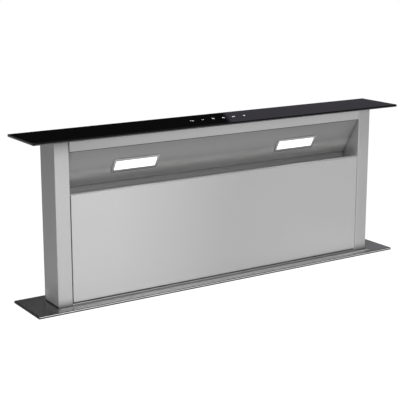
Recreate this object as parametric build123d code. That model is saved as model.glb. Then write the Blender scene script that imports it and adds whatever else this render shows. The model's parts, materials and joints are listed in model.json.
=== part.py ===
from build123d import *
import math
import os

# Downdraft vent, 90 cm class, modelled raised. Millimetres.
# Origin: centre of the worktop flange, on the worktop surface. X right, -Y towards the cook, Z up.

# ---- glass cap
glass_length = 880.0
glass_depth = 116.0
glass_thick = 5.0
glass_corner_r = 1.5
glass_edge_bevel = 0.6
glass_under_z = 329.6

# ---- touch control under the glass
touch_pitch = 25.5
touch_count = 6
touch_spring_r = 4.0
touch_window_end = 8.0
touch_window_half = 12.0
touch_board_margin = 5.0
board_thick = 1.6

# ---- riser
riser_end_inset = 53.75
riser_depth = 59.5
riser_sheet = 1.2
bend_r = 1.6
column_width = 31.2
column_return = 9.0
seam_gap = 1.2
carrier_thick = 1.2
carrier_inset = 1.6
stroke = 325.0
skirt_drop = 100.0
skirt_top_z = 6.5
skirt_foot = 10.0
ledge_lip_height = 8.0
ledge_lip_gap = 1.8
riser_screw_r = 1.5
riser_screw_head_r = 3.0
riser_screw_reach = 3.2
riser_screw_count = 5
riser_screw_pitch = 96.0
riser_screw_foot = 20.0

# ---- recess and front panel
top_rail_height = 25.6
sheet_fold = 9.0
recess_depth = 47.6
recess_bottom_z = 225.5
intake_wall_bottom_z = 196.0
panel_top_z = 221.7
panel_bottom_z = 9.0
panel_fold = 12.0
panel_sheet = 1.0
panel_lip = 7.0
panel_edge_r = 1.0
pivot_pin_r = 2.5
pivot_gap = 0.08
pivot_inset = 5.25
pivot_rise = 6.5
pivot_pin_length = 4.2
fold_cut_inset = 8.5
fold_cut_rise = 15.0
magnet_length = 10.0
magnet_depth = 7.0
magnet_height = 11.0
magnet_drop = 5.0
magnet_gap = 0.3

# ---- lamps in the recess
lamp_x = 198.0
lamp_along = 48.0
lens_length = 95.0
lens_width = 24.5
lens_thick = 2.5
lens_gap = 0.1
bezel_length = 105.0
bezel_width = 35.0
bezel_corner_r = 4.0
bezel_proud = 0.8
lamp_body_margin = 2.0
lamp_body_depth = 9.0
lamp_cut_gap = 0.2
lamp_floor = 1.5
lamp_ledge = 2.0
diode_count = 6
diode_size = 5.0
diode_height = 1.0
driver_length = 140.0
driver_depth = 16.0
driver_height = 28.0
driver_bottom_z = 262.0
driver_corner_r = 2.0

# ---- grease filters
filter_count = 3
filter_thick = 9.0
filter_height = 196.0
filter_gap = 2.0
filter_side_gap = 0.6
filter_front_gap = 0.35
filter_back_gap = 0.3
filter_foot_gap = 0.2
filter_frame_width = 12.0
filter_corner_r = 2.0
mesh_gap = 0.1
mesh_thick = 4.2
mesh_rib_thick = 5.8
mesh_ribs = 9
mesh_rib_share = 0.4
handle_span = 52.0
handle_reach = 20.0
handle_wire_r = 1.5
handle_bend_r = 3.0
handle_out = 2.6
handle_tuck = 6.0
handle_overhang = 5.0
handle_gap = 0.1
ear_half = 2.0
ear_height = 5.0
ear_nose = 2.4

# ---- worktop flange
flange_depth = 116.3
flange_height = 4.1
flange_sheet = 1.2
flange_corner_r = 1.5
flange_edge_bevel = 0.5
flange_gap = 2.0
flange_collar = 12.0
gasket_width = 7.0
gasket_gap = 0.3
wiper_height = 5.0
wiper_gap = 0.3

# ---- housing under the worktop
housing_end_gap = 13.75
housing_depth = 96.0
housing_drop = 715.0
housing_sheet = 1.0
housing_fold = 15.0
housing_bend_r = 1.6
panel_split_z = -428.0
lap_gap = 0.5
bead_width = 8.0
bead_proud = 1.5
bead_pitch = 180.0
bead_end = 60.0
screw_head_r = 3.6
screw_head_height = 2.0
screw_head_bevel = 1.0
screw_recess_r = 1.2
screw_recess_depth = 1.2
housing_screw_inset = 8.0
housing_screw_top_z = -40.0
housing_screw_pitch = 130.0
housing_screw_count = 6
foot_from_end = 51.0
foot_width = 40.0
foot_sheet = 3.0
foot_reach = 112.0
foot_rise = 48.0
foot_bend_r = 4.0
foot_hole_r = 3.25
foot_hole_near = 42.0
foot_hole_step = 50.0
clamp_y = 26.0
clamp_width = 20.0
clamp_top_z = -20.0
clamp_height = 60.0
clamp_arm = 26.0
clamp_sheet = 2.5
clamp_screw_r = 3.0
clamp_screw_out = 16.0
clamp_screw_below = 10.0
clamp_pad_r = 8.0
clamp_pad_thick = 3.0
clamp_pad_drop = 15.0
clamp_hex_r = 5.5
clamp_hex_height = 4.0

# ---- lift
guide_width = 22.0
guide_depth = 10.0
guide_wall = 2.0
guide_y = 20.0
guide_top_z = -14.0
guide_length = 416.0
shoe_gap = 0.25
shoe_nose_gap = 0.3
shoe_height = 24.0
shoe_chamfer = 1.5
shoe_drop = 8.0
shoe_foot = 3.0
crossbar_bottom_z = 50.0
crossbar_height = 25.0
crossbar_depth = 26.0
crossbar_sheet = 2.0
actuator_y = 14.0
clevis_ear = 3.0
clevis_gap = 0.5
pin_r = 4.0
pin_gap = 0.05
pin_head = 3.0
pin_head_r = 6.0
tube_r = 13.0
tube_wall = 2.5
tube_cap = 7.0
tube_floor = 3.0
tube_head_room = 25.0
tube_foot_height = 73.0
rod_r = 9.0
rod_running_gap = 0.05
rod_pin_z = 60.0
rod_eye_r = 10.0
rod_eye_half = 6.5
rod_neck = 12.0
piston_height = 14.0
piston_gap = 0.3
gearbox_height = 54.0
gearbox_half_y = 25.0
gearbox_end = 26.0
gearbox_corner_r = 10.0
motor_out = 50.0
lift_motor_r = 22.0
lift_motor_length = 96.0
lift_motor_bevel = 3.0
encoder_r = 8.0
encoder_length = 5.0
lug_r = 6.5
lug_half = 7.5
lug_drop = 8.0
base_plate_length = 60.0
base_plate_depth = 44.0
base_plate_thick = 3.0
base_ear_half = 7.0

# ---- synchronising shaft
gear_module = 1.5
pinion_teeth = 16
pinion_width = 8.0
pressure_angle = 20.0
dedendum = 1.25
gear_backlash = 0.4
rack_spare_teeth = 8
rack_back = 8.0
rack_end = 2.0
rack_side_gap = 0.5
shaft_y = -14.0
shaft_z = -60.0
shaft_r = 5.0
press_gap = 0.02
bush_wall = 2.0
bush_running_gap = 0.05
bush_length = 7.0
bush_flange = 1.0
bush_flange_rise = 2.0
pinion_side_gap = 0.8

# ---- blower
blower_from_end = 381.0
blower_z = -560.0
blower_box_length = 320.0
blower_box_height = 280.0
blower_box_depth = 190.0
blower_box_sheet = 1.0
blower_box_shift = 20.0
blower_box_rim = 12.0
cover_depth = 11.0
cover_edge_r = 1.2
inlet_r = 66.0
bell_flare = 13.5
bell_depth = 26.0
bell_flange = 12.0
bell_thick = 1.5
bell_overlap = 4.0
scroll_width = 100.0
scroll_back_gap = 37.0
scroll_small_r = 88.0
scroll_large_r = 128.0
scroll_wall = 2.0
scroll_turn = 300.0
scroll_points = 9
scroll_hub_hole_r = 30.0
scroll_end_gap = 0.3
impeller_r = 80.0
impeller_hub_r = 24.0
impeller_hub_height = 22.0
impeller_front_gap = 8.0
impeller_back_gap = 9.0
impeller_band = 6.0
backplate_thick = 2.0
blade_count = 36
blade_thick = 1.0
blade_depth_r = 15.0
blade_sweep = 13.0
motor_body_r = 46.0
motor_edge_r = 6.0
motor_front_gap = 6.0
motor_disc_r = 62.0
motor_disc_thick = 2.0
motor_slot_r = 54.0
motor_slot_width = 5.0
motor_slot_length = 40.0
motor_groove_pitch = 8.0
motor_groove_width = 3.0
motor_groove_depth = 1.5
motor_groove_start = 10.0
motor_shaft_r = 4.0
motor_shaft_depth = 12.0

# ---- duct collar and damper
duct_r = 75.0
duct_wall = 1.5
duct_spigot = 50.0
duct_plate = 166.0
duct_plate_corner_r = 6.0
duct_raise = 4.0
flap_inset = 14.0
flap_pin_r = 2.0
flap_pin_gap = 0.06
flap_sheet = 1.2
flap_gap = 0.9
knuckle_r = 3.6
knuckle_count = 4
knuckle_gap = 1.0
knuckle_end = 8.0
knuckle_clear = 0.8

# ---- electrics
control_from_end = 16.0
control_length = 170.0
control_z0 = -640.0
control_height = 130.0
control_depth = 50.0
control_sheet = 2.0
control_corner_r = 4.0
lid_thick = 3.0
lid_edge_r = 1.5
gland_from_end = 34.0
gland_hole_r = 4.0
gland_body_r = 8.0
gland_thread_r = 6.95
gland_reach = 12.0
gland_inside = 6.0
gland_nut_r = 10.0
gland_nut_height = 4.0
main_board_length = 146.0
main_board_height = 84.0
main_board_inset = 12.0
main_board_raise = 34.0
post_height = 5.0
post_r = 3.0
post_inset = 6.0
transformer_size = 36.0
transformer_height = 24.0
capacitor_r = 11.0
capacitor_length = 56.0
relay_count = 4
relay_width = 9.0
relay_height = 24.0
relay_depth = 15.0
relay_pitch = 12.0
terminal_count = 4
terminal_height = 16.0
terminal_depth = 20.0
terminal_hole_r = 2.5

# ---- derived values
riser_length = glass_length - 2 * riser_end_inset
flange_length = glass_length
half_riser = riser_length / 2
column_inner_x = half_riser - column_width
centre_half = column_inner_x - seam_gap
front_y = -riser_depth / 2
rear_y = riser_depth / 2
column_rear_y = rear_y - riser_sheet
column_top_z = glass_under_z - carrier_thick
rail_bottom_z = glass_under_z - top_rail_height
skirt_bottom_z = -skirt_drop
recess_back_y = front_y + recess_depth
slope_top = (front_y + riser_sheet, rail_bottom_z)
slope_bottom = (recess_back_y, recess_bottom_z)
slope_angle = math.atan2(slope_bottom[0] - slope_top[0], slope_top[1] - slope_bottom[1])
panel_pivot_y = front_y + pivot_inset
panel_pivot_z = panel_bottom_z + pivot_rise
lamp_body_length = lens_length + 2 * lamp_body_margin
lamp_body_width = lens_width + 2 * lamp_body_margin
lamp_back = riser_sheet + lamp_body_depth
lens_back = bezel_proud - lens_thick
touch_window_x = touch_pitch * touch_count / 2 + touch_window_end
filter_width = (2 * (column_inner_x - filter_side_gap) - (filter_count - 1) * filter_gap) / filter_count
filter_front_y = front_y + panel_fold + filter_front_gap
filter_lean = math.asin((recess_back_y - filter_back_gap - filter_front_y - filter_thick) / filter_height)
filter_corner_z = skirt_top_z + filter_thick * math.sin(filter_lean) + filter_foot_gap
ledge_lip_y = filter_front_y + filter_thick + ledge_lip_gap
handle_pivot_z = filter_height - filter_frame_width + ear_height / 2
wall_inner_x = half_riser + housing_end_gap
housing_half = wall_inner_x + housing_sheet
wall_inner_y = housing_depth / 2 - housing_sheet
front_wall_y = -housing_depth / 2
floor_z = -housing_drop
flange_top_under_z = flange_height - flange_sheet
opening_half_x = half_riser + flange_gap
opening_half_y = riser_depth / 2 + flange_gap
crossbar_y0 = actuator_y - crossbar_depth / 2
crossbar_top_z = crossbar_bottom_z + crossbar_height
tube_top_z = rod_pin_z - stroke - tube_head_room
tube_bottom_z = floor_z + tube_foot_height
rod_bottom_z = tube_bottom_z + tube_floor + stroke + 1.0
gearbox_bottom_z = tube_bottom_z - gearbox_height
base_pin_z = gearbox_bottom_z - lug_drop
base_plate_top_z = floor_z + housing_sheet + base_plate_thick
pitch_r = gear_module * pinion_teeth / 2
tooth_pitch = math.pi * gear_module
rack_teeth = math.ceil(stroke / tooth_pitch) + rack_spare_teeth
rack_pitch_y = shaft_y + pitch_r
bush_inner_r = shaft_r + bush_running_gap
bush_outer_r = bush_inner_r + bush_wall
pinion_x0 = half_riser + bush_flange + pinion_side_gap
pinion_x1 = pinion_x0 + pinion_width
shaft_end_x = pinion_x1 + 1.0
rack_x0 = pinion_x0 + rack_side_gap
foot_x = housing_half - foot_from_end
scroll_back_y = front_wall_y - scroll_back_gap
scroll_front_y = scroll_back_y - scroll_width
scroll_mid_y = (scroll_back_y + scroll_front_y) / 2
box_front_y = front_wall_y - blower_box_depth
blower_x = -housing_half + blower_from_end
box_x0 = blower_x - blower_box_length / 2 + blower_box_shift
box_x1 = box_x0 + blower_box_length
box_z1 = blower_z + scroll_large_r + blower_box_rim
box_z0 = box_z1 - blower_box_height
blade_y0 = scroll_front_y + scroll_wall + impeller_front_gap
blade_y1 = scroll_back_y - impeller_back_gap
motor_back_y = scroll_front_y - motor_disc_thick
motor_front_y = box_front_y + motor_front_gap
duct_z = blower_z + scroll_large_r - duct_r + duct_raise
spigot_x0 = box_x1 + duct_wall
spigot_x1 = spigot_x0 + duct_spigot
flap_x = spigot_x0 + flap_inset
control_x0 = -housing_half + control_from_end
control_x1 = control_x0 + control_length
control_z1 = control_z0 + control_height
control_y0 = front_wall_y - control_depth
gland_x = control_x1 - gland_from_end
gland_y = front_wall_y - control_depth / 2


# ---- helpers
def block(x0, x1, y0, y1, z0, z1):
    size = (x1 - x0, y1 - y0, z1 - z0)
    return Pos(x0, y0, z0) * Box(*size, align=(Align.MIN, Align.MIN, Align.MIN))


def along_x(face, x0, x1):
    return extrude(Plane.YZ.offset(x0) * face, x1 - x0)


def along_z(face, z0, z1):
    return extrude(Plane.XY.offset(z0) * face, z1 - z0)


def along_y(face, y0, y1):
    """The face is drawn in X and Z."""
    return extrude(Plane.XZ.offset(-y1) * face, y1 - y0)


def folded(points, thick, radius, side=Side.LEFT):
    """Section of a folded sheet: its outer line, rounded at the bends, thickened to one side."""
    outer = FilletPolyline(*points, radius=radius)
    return make_face(offset(outer, amount=thick, side=side, closed=True).edges())


def rod_x(x0, x1, y, z, r):
    return along_x(Pos(y, z) * Circle(r), x0, x1)


def rod_y(y0, y1, x, z, r):
    return along_y(Pos(x, z) * Circle(r), y0, y1)


def rod_z(z0, z1, x, y, r):
    return along_z(Pos(x, y) * Circle(r), z0, z1)


def cone_y(y0, y1, x, z, r0, r1):
    return Pos(x, (y0 + y1) / 2, z) * Rot(-90, 0, 0) * Cone(r0, r1, y1 - y0)


def ring(half_x0, half_y0, half_x1, half_y1, z0, z1):
    """Rectangular ring between an inner and an outer outline."""
    outer = block(-half_x1, half_x1, -half_y1, half_y1, z0, z1)
    return outer - block(-half_x0, half_x0, -half_y0, half_y0, z0 - 1, z1 + 1)


def mirrored(shape):
    return mirror(shape, about=Plane.YZ)


def group(shapes):
    return Compound(children=list(shapes))


def both(shape):
    """A piece and its mirror twin, as one group."""
    return group([shape, mirrored(shape)])


# ---- cap
def glass_top():
    half_x = glass_length / 2
    half_y = glass_depth / 2
    plate = block(-half_x, half_x, -half_y, half_y, glass_under_z, glass_under_z + glass_thick)
    plate = fillet(plate.edges().filter_by(Axis.Z), glass_corner_r)
    rims = plate.faces().sort_by(Axis.Z)[-1].edges() + plate.faces().sort_by(Axis.Z)[0].edges()
    return chamfer(rims, glass_edge_bevel)


def glass_carrier():
    """Sheet that the glass is bonded to, with a window for the touch springs."""
    half_x = half_riser - carrier_inset
    half_y = riser_depth / 2 - carrier_inset
    return ring(touch_window_x, touch_window_half, half_x, half_y, column_top_z, glass_under_z)


def touch_board():
    half_x = touch_window_x + touch_board_margin
    half_y = touch_window_half + touch_board_margin
    board = block(-half_x, half_x, -half_y, half_y, column_top_z - board_thick, column_top_z)
    first = -touch_pitch * (touch_count - 1) / 2
    for i in range(touch_count):
        board += rod_z(column_top_z, glass_under_z, first + i * touch_pitch, 0.0, touch_spring_r)
    return board


# ---- riser
def side_column_right():
    outline = folded([(column_inner_x + column_return, column_rear_y),
                      (column_inner_x, column_rear_y),
                      (column_inner_x, front_y),
                      (half_riser, front_y),
                      (half_riser, column_rear_y),
                      (half_riser - column_return, column_rear_y)], riser_sheet, bend_r)
    column = along_z(outline, skirt_bottom_z, column_top_z)
    for z in riser_screw_heights():
        column -= rod_y(column_rear_y - 2 * riser_sheet, rear_y, riser_screw_x(), z, riser_screw_r + pin_gap)
    return column - rod_x(column_inner_x - 1, half_riser + 1, shaft_y, shaft_z, bush_outer_r)


def riser_screw_x():
    """Middle of the flat part of the column's outer return."""
    return half_riser - (column_return + bend_r) / 2


def riser_screw_heights():
    return [skirt_bottom_z + riser_screw_foot + k * riser_screw_pitch for k in range(riser_screw_count)]


def riser_screws():
    """Countersunk screws, flush with the rear panel."""
    screws = []
    for z in riser_screw_heights():
        screw = rod_y(rear_y - riser_screw_reach, rear_y, riser_screw_x(), z, riser_screw_r)
        screw += cone_y(column_rear_y, rear_y, riser_screw_x(), z, riser_screw_r, riser_screw_head_r)
        screw -= rod_y(rear_y - screw_recess_depth, rear_y + 1, riser_screw_x(), z, screw_recess_r)
        screws += [screw, mirrored(screw)]
    return group(screws)


def rear_panel():
    panel = block(-half_riser, half_riser, column_rear_y, rear_y, skirt_bottom_z, column_top_z)
    for z in riser_screw_heights():
        for x in (-riser_screw_x(), riser_screw_x()):
            panel -= cone_y(column_rear_y, rear_y, x, z, riser_screw_r, riser_screw_head_r)
    return panel


def top_rail():
    section = folded([(front_y + sheet_fold, column_top_z),
                      (front_y, column_top_z),
                      (front_y, rail_bottom_z)], riser_sheet, bend_r)
    return along_x(section, -centre_half, centre_half)


def on_slope(along, out):
    """Point of the recess slope: distance down the slope, distance out of its front face."""
    y = slope_top[0] + along * math.sin(slope_angle) - out * math.cos(slope_angle)
    z = slope_top[1] - along * math.cos(slope_angle) - out * math.sin(slope_angle)
    return (y, z)


def slope_shape(shape, x, along):
    """Places a shape drawn with x to the right, y up the slope and z out of it."""
    y, z = on_slope(along, 0.0)
    outward = (0, -math.cos(slope_angle), -math.sin(slope_angle))
    return Plane(origin=(x, y, z), x_dir=(1, 0, 0), z_dir=outward).location * shape


def layer(face, w0, w1):
    """A face drawn on the slope, from depth w0 to w1 along its outward normal."""
    return extrude(Plane.XY.offset(w0) * face, w1 - w0)


def recess_plate():
    section = folded([(front_y + riser_sheet, rail_bottom_z + sheet_fold),
                      slope_top,
                      slope_bottom,
                      (recess_back_y, intake_wall_bottom_z)], riser_sheet, bend_r)
    plate = along_x(section, -column_inner_x, column_inner_x)
    hole = Rectangle(lamp_body_length + 2 * lamp_cut_gap, lamp_body_width + 2 * lamp_cut_gap)
    cut = layer(hole, -2 * riser_sheet, 2 * riser_sheet)
    for x in (-lamp_x, lamp_x):
        plate -= slope_shape(cut, x, lamp_along)
    return plate


def lamp_bezel(x):
    frame = layer(RectangleRounded(bezel_length, bezel_width, bezel_corner_r), 0, bezel_proud)
    body = layer(Rectangle(lamp_body_length, lamp_body_width), -lamp_back, 0)
    seat = layer(Rectangle(lens_length + 2 * lens_gap, lens_width + 2 * lens_gap), lens_back, bezel_proud)
    hollow = layer(Rectangle(lens_length - 2 * lamp_ledge, lens_width - 2 * lamp_ledge),
                   -lamp_back + lamp_floor, lens_back)
    return slope_shape(frame + body - seat - hollow, x, lamp_along)


def lamp_lens(x):
    lens = layer(Rectangle(lens_length, lens_width), lens_back, bezel_proud - lens_gap)
    return slope_shape(lens, x, lamp_along)


def lamp_board(x):
    length = lens_length - 2 * (lamp_ledge + lens_gap)
    width = lens_width - 2 * (lamp_ledge + lens_gap)
    under = -lamp_back + lamp_floor
    top = under + board_thick
    board = layer(Rectangle(length, width), under, top)
    for i in range(diode_count):
        diode_x = (i - (diode_count - 1) / 2) * length / diode_count
        board += Pos(diode_x, 0, 0) * layer(Rectangle(diode_size, diode_size), top, top + diode_height)
    return slope_shape(board, x, lamp_along)


def lamp_driver():
    half = driver_length / 2
    case = block(-half, half, column_rear_y - driver_depth, column_rear_y,
                 driver_bottom_z, driver_bottom_z + driver_height)
    return fillet(case.edges().filter_by(Axis.Z), driver_corner_r)


def front_skirt():
    """Lower front sheet of the riser, with the ledge and lip that the filters stand on."""
    section = folded([(ledge_lip_y, skirt_top_z + ledge_lip_height),
                      (ledge_lip_y, skirt_top_z),
                      (front_y, skirt_top_z),
                      (front_y, skirt_bottom_z),
                      (front_y + skirt_foot, skirt_bottom_z)], riser_sheet, bend_r)
    return along_x(section, -column_inner_x, column_inner_x)


def front_panel():
    """Folded tray with a return lip along its top, open at the foot where it turns on its pins."""
    half = centre_half
    back_y = front_y + panel_fold
    sheet = panel_sheet
    tray = block(-half, half, front_y, back_y, panel_bottom_z, panel_top_z)
    tray = fillet(tray.faces().sort_by(Axis.Y)[0].edges(), panel_edge_r)
    tray -= block(-half + sheet, half - sheet, front_y + sheet, back_y + 1,
                  panel_bottom_z + sheet, panel_top_z - sheet)
    tray += block(-half + sheet, half - sheet, back_y - sheet, back_y,
                  panel_top_z - sheet - panel_lip, panel_top_z - sheet)
    tray -= block(-half - 1, half + 1, front_y + fold_cut_inset, back_y + 1,
                  panel_bottom_z - 1, panel_bottom_z + fold_cut_rise)
    return tray - rod_x(-half - 1, half + 1, panel_pivot_y, panel_pivot_z, pivot_pin_r + pivot_gap)


def panel_fittings():
    """Pivot pin at the foot and magnet catch at the top of each side of the front panel."""
    pin = rod_x(column_inner_x - pivot_pin_length, column_inner_x, panel_pivot_y, panel_pivot_z, pivot_pin_r)
    y0 = front_y + panel_fold + magnet_gap
    z1 = panel_top_z - magnet_drop
    magnet = block(column_inner_x - magnet_length, column_inner_x, y0, y0 + magnet_depth,
                   z1 - magnet_height, z1)
    return group([pin, mirrored(pin), magnet, mirrored(magnet)])


# ---- grease filters
def filter_x(i):
    return (i - (filter_count - 1) / 2) * (filter_width + filter_gap)


def filter_place(i):
    """From the filter's own frame (x centred, front face at y 0, bottom at z 0) to its leaning place."""
    return Location((filter_x(i), filter_front_y, filter_corner_z), (-math.degrees(filter_lean), 0, 0))


def filter_frame(i):
    w = filter_width / 2
    rim = filter_frame_width
    frame = block(-w, w, 0, filter_thick, 0, filter_height)
    frame = fillet(frame.edges().filter_by(Axis.Y), filter_corner_r)
    frame -= block(-w + rim, w - rim, -1, filter_thick + 1, rim, filter_height - rim)
    for x in (-handle_span / 2, handle_span / 2):
        z0 = filter_height - rim
        ear = block(x - ear_half, x + ear_half, -handle_out - ear_nose, 0, z0, z0 + ear_height)
        ear -= rod_x(x - 2 * ear_half, x + 2 * ear_half, -handle_out, handle_pivot_z,
                     handle_wire_r + handle_gap)
        frame += ear
    return filter_place(i) * frame


def filter_mesh(i):
    """Pad of expanded mesh, pressed into ribs across the filter."""
    w = filter_width / 2 - filter_frame_width - mesh_gap
    z0 = filter_frame_width + mesh_gap
    z1 = filter_height - filter_frame_width - mesh_gap
    step = (z1 - z0) / mesh_ribs
    thin = (filter_thick - mesh_thick) / 2
    thick = (filter_thick - mesh_rib_thick) / 2
    margin = (1 - mesh_rib_share) / 2
    pad = block(-w, w, thin, filter_thick - thin, z0, z1)
    for k in range(mesh_ribs):
        pad += block(-w, w, thick, filter_thick - thick,
                     z0 + (k + margin) * step, z0 + (k + 1 - margin) * step)
    return filter_place(i) * pad


def filter_handle(i):
    """Wire bail: it runs through both ears and hangs below them as a squared loop."""
    inner = handle_span / 2 - handle_tuck
    outer = handle_span / 2 + handle_overhang
    tip = handle_pivot_z - handle_reach
    line = FilletPolyline((-inner, 0, handle_pivot_z), (-outer, 0, handle_pivot_z), (-outer, 0, tip),
                          (outer, 0, tip), (outer, 0, handle_pivot_z), (inner, 0, handle_pivot_z),
                          radius=handle_bend_r)
    start = Plane(origin=line @ 0, z_dir=line % 0)
    wire = sweep(start * Circle(handle_wire_r), path=line)
    return filter_place(i) * Pos(0, -handle_out, 0) * wire


# ---- lift
def ears_about(inner_x, ear, half_y, z0, z1):
    """Two plates of a clevis, one each side of x 0, about the actuator's line."""
    right = block(inner_x, inner_x + ear, actuator_y - half_y, actuator_y + half_y, z0, z1)
    return right + mirrored(right)


def clevis_pin(z, ear_out_x):
    """Plain pin through a clevis, with a head at its right end."""
    reach = ear_out_x + 1.0
    pin = rod_x(-reach, reach, actuator_y, z, pin_r)
    return pin + rod_x(reach, reach + pin_head, actuator_y, z, pin_head_r)


rod_ear_x = rod_eye_half + clevis_gap
base_ear_x = lug_half + clevis_gap


def lift_crossbar():
    y1 = crossbar_y0 + crossbar_depth
    sheet = crossbar_sheet
    section = folded([(crossbar_y0, crossbar_bottom_z), (crossbar_y0, crossbar_top_z),
                      (y1, crossbar_top_z), (y1, crossbar_bottom_z)], sheet, sheet + 1.0, Side.RIGHT)
    bar = along_x(section, -column_inner_x, column_inner_x)
    top_z = crossbar_top_z - 1
    end = block(column_inner_x - sheet, column_inner_x, crossbar_y0 + 1, y1 - 1, crossbar_bottom_z, top_z)
    bar += end + mirrored(end)
    bar += ears_about(rod_ear_x, clevis_ear, crossbar_depth / 2 - sheet - 1.0, crossbar_bottom_z, top_z)
    reach = rod_ear_x + clevis_ear + 1
    return bar - rod_x(-reach, reach, actuator_y, rod_pin_z, pin_r + pin_gap)


def actuator_rod():
    """Rod with its piston at the foot and its eye at the head."""
    rod = rod_z(rod_bottom_z, rod_pin_z - rod_neck, 0, actuator_y, rod_r)
    rod += rod_z(rod_bottom_z, rod_bottom_z + piston_height, 0, actuator_y, tube_r - tube_wall - piston_gap)
    rod += rod_x(-rod_eye_half, rod_eye_half, actuator_y, rod_pin_z, rod_eye_r)
    neck = rod_r - 2.0
    rod += block(-rod_eye_half, rod_eye_half, actuator_y - neck, actuator_y + neck,
                 rod_pin_z - rod_neck - 2, rod_pin_z)
    return rod - rod_x(-rod_eye_half - 1, rod_eye_half + 1, actuator_y, rod_pin_z, pin_r + pin_gap)


def rod_pin():
    return clevis_pin(rod_pin_z, rod_ear_x + clevis_ear)


def actuator_tube():
    """Tube with its guide cap; the rod runs in the cap."""
    cap_top = tube_top_z + tube_cap
    tube = rod_z(tube_bottom_z, cap_top, 0, actuator_y, tube_r)
    tube = chamfer(tube.edges().sort_by(Axis.Z)[-1], 1.5)
    tube -= rod_z(tube_bottom_z + tube_floor, tube_top_z, 0, actuator_y, tube_r - tube_wall)
    return tube - rod_z(tube_top_z - 1, cap_top + 1, 0, actuator_y, rod_r + rod_running_gap)


def actuator_gearmotor():
    """Gearbox under the tube, with its lug below and the motor standing beside the tube."""
    body = block(-gearbox_end, motor_out + gearbox_end,
                 actuator_y - gearbox_half_y, actuator_y + gearbox_half_y, gearbox_bottom_z, tube_bottom_z)
    body = fillet(body.edges().filter_by(Axis.Z), gearbox_corner_r)
    body += rod_x(-lug_half, lug_half, actuator_y, base_pin_z, lug_r)
    body += block(-lug_half, lug_half, actuator_y - lug_r, actuator_y + lug_r, base_pin_z, gearbox_bottom_z)
    motor_top = tube_bottom_z + lift_motor_length
    motor = rod_z(tube_bottom_z, motor_top, motor_out, actuator_y, lift_motor_r)
    body += chamfer(motor.edges().sort_by(Axis.Z)[-1], lift_motor_bevel)
    body += rod_z(motor_top, motor_top + encoder_length, motor_out, actuator_y, encoder_r)
    return body - rod_x(-lug_half - 1, lug_half + 1, actuator_y, base_pin_z, pin_r + pin_gap)


def actuator_bracket():
    half_x = base_plate_length / 2
    half_y = base_plate_depth / 2
    bracket = block(-half_x, half_x, actuator_y - half_y, actuator_y + half_y,
                    floor_z + housing_sheet, base_plate_top_z)
    bracket += ears_about(base_ear_x, clevis_ear, base_ear_half, base_plate_top_z, base_pin_z)
    top = rod_x(base_ear_x, base_ear_x + clevis_ear, actuator_y, base_pin_z, base_ear_half)
    bracket += top + mirrored(top)
    reach = base_ear_x + clevis_ear + 1
    return bracket - rod_x(-reach, reach, actuator_y, base_pin_z, pin_r + pin_gap)


def base_pin():
    return clevis_pin(base_pin_z, base_ear_x + clevis_ear)


def guide_rail_right():
    y0 = guide_y - guide_width / 2
    x0 = wall_inner_x - guide_depth
    z0 = guide_top_z - guide_length
    rail = block(x0, wall_inner_x, y0, y0 + guide_width, z0, guide_top_z)
    groove = block(x0 - 1, wall_inner_x - guide_wall, y0 + guide_wall, y0 + guide_width - guide_wall,
                   z0 - 1, guide_top_z + 1)
    return rail - groove


def guide_shoes():
    """Plastic blocks on the columns' sides that run in the guide rails, one above the other."""
    half_y = guide_width / 2 - guide_wall - shoe_gap
    x1 = wall_inner_x - guide_wall - shoe_nose_gap
    shoes = []
    for z1 in (guide_top_z - shoe_drop, skirt_bottom_z + shoe_height + shoe_foot):
        shoe = block(half_riser, x1, guide_y - half_y, guide_y + half_y, z1 - shoe_height, z1)
        shoe = chamfer(shoe.edges().filter_by(Axis.Y).group_by(Axis.X)[-1], shoe_chamfer)
        shoes += [shoe, mirrored(shoe)]
    return group(shoes)


# ---- synchronising shaft, pinions and racks
def involute(angle):
    return math.tan(angle) - angle


def tooth_half_angle(radius):
    """Half of the pinion tooth's angle at a radius."""
    alpha = math.radians(pressure_angle)
    base = pitch_r * math.cos(alpha)
    at_pitch = (tooth_pitch / 2 - gear_backlash / 2) / 2 / pitch_r
    here = math.acos(min(1.0, base / radius))
    return at_pitch + involute(alpha) - involute(here)


def pinion_outline():
    tip = pitch_r + gear_module
    root = pitch_r - dedendum * gear_module
    base = pitch_r * math.cos(math.radians(pressure_angle))
    radii = [root, base, (base + pitch_r) / 2, pitch_r, (pitch_r + tip) / 2, tip]
    points = []
    for k in range(pinion_teeth):
        mid = 2 * math.pi * k / pinion_teeth
        for r in radii:
            a = mid - tooth_half_angle(max(r, base))
            points.append((r * math.cos(a), r * math.sin(a)))
        for r in reversed(radii):
            a = mid + tooth_half_angle(max(r, base))
            points.append((r * math.cos(a), r * math.sin(a)))
    return make_face(Polyline(*points, close=True).edges())


def pinion_right():
    gear = along_x(Pos(shaft_y, shaft_z) * pinion_outline(), pinion_x0, pinion_x1)
    return gear - rod_x(pinion_x0 - 1, pinion_x1 + 1, shaft_y, shaft_z, shaft_r + press_gap)


def sync_shaft():
    return rod_x(-shaft_end_x, shaft_end_x, shaft_y, shaft_z, shaft_r)


def shaft_bush(x0, x1, flange_x):
    bush = rod_x(x0, x1, shaft_y, shaft_z, bush_outer_r - press_gap)
    bush += rod_x(flange_x, flange_x + bush_flange, shaft_y, shaft_z, bush_outer_r + bush_flange_rise)
    return bush - rod_x(x0 - 1, x1 + 1, shaft_y, shaft_z, bush_inner_r)


def shaft_bushes():
    """A flanged bush in each wall of both columns, all on the shaft's line."""
    outer = shaft_bush(half_riser + bush_flange - bush_length, half_riser + bush_flange, half_riser)
    inner_x = column_inner_x - bush_flange
    inner = shaft_bush(inner_x, inner_x + bush_length, inner_x)
    return group([outer, mirrored(outer), inner, mirrored(inner)])


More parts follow.
